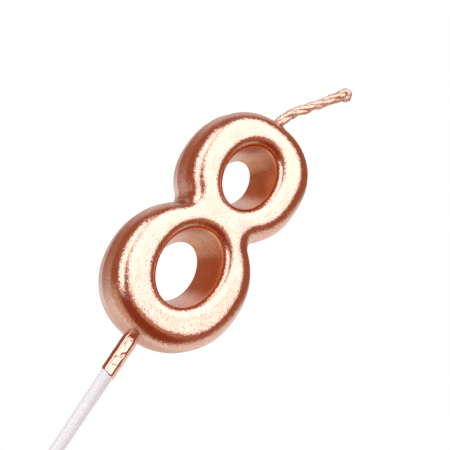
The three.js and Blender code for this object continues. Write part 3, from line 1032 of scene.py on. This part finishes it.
def lacquer_material():
    """Copper-pink metal flake in clear lacquer: grainy on the bead, with a deeper painted reflection in
    the counters.

    The counters' upper walls face down and get painted shade: a darker colour and a rougher finish.
    """
    material, nodes, shader = new_material("rose_gold_lacquer")
    place = in_millimetres(nodes)
    counter = nodes.add("ShaderNodeAttribute", attribute_name="counter").outputs["Fac"]
    lip = nodes.add("ShaderNodeAttribute", attribute_name="lip").outputs["Fac"]
    surface_normal = nodes.add("ShaderNodeNewGeometry").outputs["Normal"]
    facing = nodes.add("ShaderNodeSeparateXYZ", {0: surface_normal})
    wall = nodes.ease(nodes.math("ABSOLUTE", facing.outputs["Y"]), 0.25, 0.65, 1.0, 0.0)
    # The counters' down-facing upper walls get painted shade in the colour, and more roughness.
    downward = nodes.ease(facing.outputs["Z"], -0.95, -0.30, 1.0, 0.0)
    shaded_down_wall = nodes.math("MULTIPLY", counter, downward)

    tilt = nodes.ease(counter, 0.0, 1.0, FLAKE["tilt"], FLAKE["counter_tilt"])
    flake_normal, random = tilted_flakes(nodes, place, tilt)
    peel = cloud(nodes, place, PEEL["size"], 3.0)
    lines_place = stretched(nodes, place, (1 / DRAW_LINES["stretch"], 1.0, 1 / DRAW_LINES["stretch"]))
    lines = cloud(nodes, lines_place, DRAW_LINES["size"], 4.0)
    normal = bumped(nodes, peel, PEEL["height"], flake_normal)
    normal = bumped(nodes, nodes.math("MULTIPLY", lines, wall), DRAW_LINES["height"], normal)

    tint = lacquer_tint(nodes, place, counter, lip, shaded_down_wall)
    shade = lacquer_shade(nodes, place, counter, wall, lines, random)
    # The pale flakes in the colour are painted glints.
    colour = nodes.mix(painted_glints(nodes, place), scaled(nodes, tint, shade), PAINTED_GLINT["colour"])
    rough = lacquer_roughness(nodes, place, counter, lip, shaded_down_wall)
    nodes.feed(shader, {"Metallic": 1.0, "Base Color": colour, "Normal": normal, "Roughness": rough})
    return material


def sleeve_material():
    """The same lacquer where it ran down the pick: glossier, and with less flake standing up."""
    material, nodes, shader = new_material("glossy_lacquer")
    place = in_millimetres(nodes)
    normal, random = tilted_flakes(nodes, place, FLAKE["sleeve_tilt"])
    ripple = cloud(nodes, stretched(nodes, place, (1, 1, 1 / RIPPLE["stretch"])), RIPPLE["size"], 3.0)
    normal = bumped(nodes, ripple, RIPPLE["height"], normal)
    flakes = nodes.ease(channel(nodes, random, 0), 0, 1, 0.95, 1.05)
    patchy = nodes.ease(cloud(nodes, place, 1.8), 0.3, 0.7, 0.93, 1.04)
    colour = scaled(nodes, LACQUER["colour"], nodes.math("MULTIPLY", flakes, patchy))
    rough = nodes.ease(cloud(nodes, place, 1.1), 0.3, 0.7, *LACQUER["sleeve_roughness"])
    nodes.feed(shader, {"Metallic": 1.0, "Base Color": colour, "Normal": normal, "Roughness": rough})
    return material


def cotton_material():
    """Cotton yarn soaked in lacquer: metal over fibres, with painted shade in brown, less metallic
    patches on the underside.
    """
    material, nodes, shader = new_material("lacquered_cotton")
    place = in_millimetres(nodes)
    fibre = nodes.add("ShaderNodeAttribute", attribute_name="fibre").outputs["Vector"]
    threads = cloud(nodes, fibre, 0.22, 4.0)
    lumps = cloud(nodes, place, 0.35, 3.0)
    surface_normal = nodes.add("ShaderNodeNewGeometry").outputs["Normal"]
    # Painted shade: brown, less metallic patches on the side that faces down and out.
    underside = nodes.ease(nodes.dot(surface_normal, WICK_UNDERSIDE), 0.0, 0.7)
    shade_patches = nodes.ease(cloud(nodes, place, 1.3, 3.0), 0.40, 0.56)
    bare = nodes.math("MULTIPLY", underside, shade_patches)
    normal = bumped(nodes, threads, COTTON["thread_height"])
    normal = bumped(nodes, lumps, COTTON["lump_height"], normal)
    # Darker in the hollows between the threads: painted shade.
    light = nodes.mix(nodes.ease(threads, 0.35, 0.65), COTTON["thread_gap_shade"], COTTON["thread"])
    colour = nodes.mix(nodes.math("MULTIPLY", bare, 0.85), light, COTTON["bare"])
    nodes.feed(shader, {
        "Base Color": colour,
        "Normal": normal,
        "Roughness": nodes.ease(threads, 0.3, 0.7, 0.40, 0.56),
        "Metallic": nodes.ease(bare, 0.0, 1.0, 0.92, 0.6),
    })
    return material


def plastic_material():
    """Milky moulded plastic with faint flow lines along the pick and small specks."""
    material, nodes, shader = new_material("white_plastic")
    place = in_millimetres(nodes)
    flow = cloud(nodes, stretched(nodes, place, (1, 1, 0.06)), 0.5, 4.0)
    mottle = cloud(nodes, place, 2.5, 3.0)
    speck = cells(nodes, place, 1.4).outputs["Distance"]
    base = nodes.mix(nodes.ease(flow, 0.3, 0.7), PLASTIC["dark"], PLASTIC["light"])
    base = nodes.mix(nodes.ease(mottle, 0.35, 0.65, 0.0, 0.35), base, PLASTIC["mottle"])
    base = nodes.mix(nodes.ease(speck, 0.03, 0.06, 0.3, 0.0), base, PLASTIC["speck"])
    nodes.feed(shader, {
        "Base Color": base,
        "Roughness": nodes.ease(mottle, 0.3, 0.7, 0.30, 0.42),
        "Normal": bumped(nodes, flow, PLASTIC["flow_height"]),
        "Subsurface Weight": 0.2,
        "Subsurface Radius": PLASTIC["scatter"],
        "Subsurface Scale": MM,
        "IOR": 1.49,
    })
    return material


def wax_material():
    """Cream paraffin: mottled, faintly pitted and soft to the light."""
    material, nodes, shader = new_material("wax")
    place = in_millimetres(nodes)
    mottle = cloud(nodes, place, 3.0, 4.0)
    frost = cloud(nodes, place, 0.4, 3.0)
    pits = cells(nodes, place, 0.8).outputs["Distance"]
    colour = nodes.mix(nodes.ease(mottle, 0.3, 0.7), WAX["dark"], WAX["light"])
    colour = nodes.mix(nodes.ease(frost, 0.55, 0.75, 0.0, 0.5), colour, WAX["frost"])
    normal = bumped(nodes, nodes.ease(pits, 0.05, 0.2), WAX["pit_depth"])
    nodes.feed(shader, {
        "Base Color": colour,
        "Roughness": nodes.ease(frost, 0.3, 0.7, 0.42, 0.6),
        "Normal": bumped(nodes, frost, WAX["frost_height"], normal),
        "Subsurface Weight": 0.4,
        "Subsurface Radius": WAX["scatter"],
        "Subsurface Scale": MM,
    })
    return material


def floor_material():
    """Pale, slightly uneven paper. It glows, so that the coloured studio doesn't tint it."""
    material, nodes, shader = new_material("floor_paper")
    place = in_millimetres(nodes)
    uneven = nodes.ease(cloud(nodes, place, PAPER["size"], 3.0), 0.3, 0.7)
    tone = nodes.mix(uneven, PAPER["dark"], PAPER["light"])
    nodes.feed(shader, {
        "Emission Color": tone,
        "Emission Strength": 1.0,
        "Base Color": (0.0, 0.0, 0.0, 1.0),
        "Specular IOR Level": 0.0,
        "Roughness": 0.9,
    })
    return material


def stand_for(piece, material, node):
    """A finished piece takes the place of a CAD node and rides with the candle."""
    piece.data.materials.append(material)
    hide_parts(node)
    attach(piece, "root")


bpy.context.scene.view_settings.view_transform = "Standard"
make_camera()
make_world()
add_lights()
add_floor().data.materials.append(floor_material())

lacquer = lacquer_material()
cotton = cotton_material()
figure = add_piece("lacquered_figure", figure_mesh())
stand_for(figure, lacquer, "lacquer_coat")
film = add_piece("pick_lacquer_film", sleeve_mesh())
stand_for(film, sleeve_material(), "pick_lacquer")
pick = add_piece("pick_body", pick_mesh())
stand_for(pick, plastic_material(), "pick")
for number in range(WICK["strands"]):
    yarn = add_piece(f"wick_yarn_{number + 1}", strand_mesh(number))
    stand_for(yarn, cotton, f"wick_strand_{number + 1}")
wax_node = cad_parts["wax_body"]
wax_node.data.materials.clear()
wax_node.data.materials.append(wax_material())
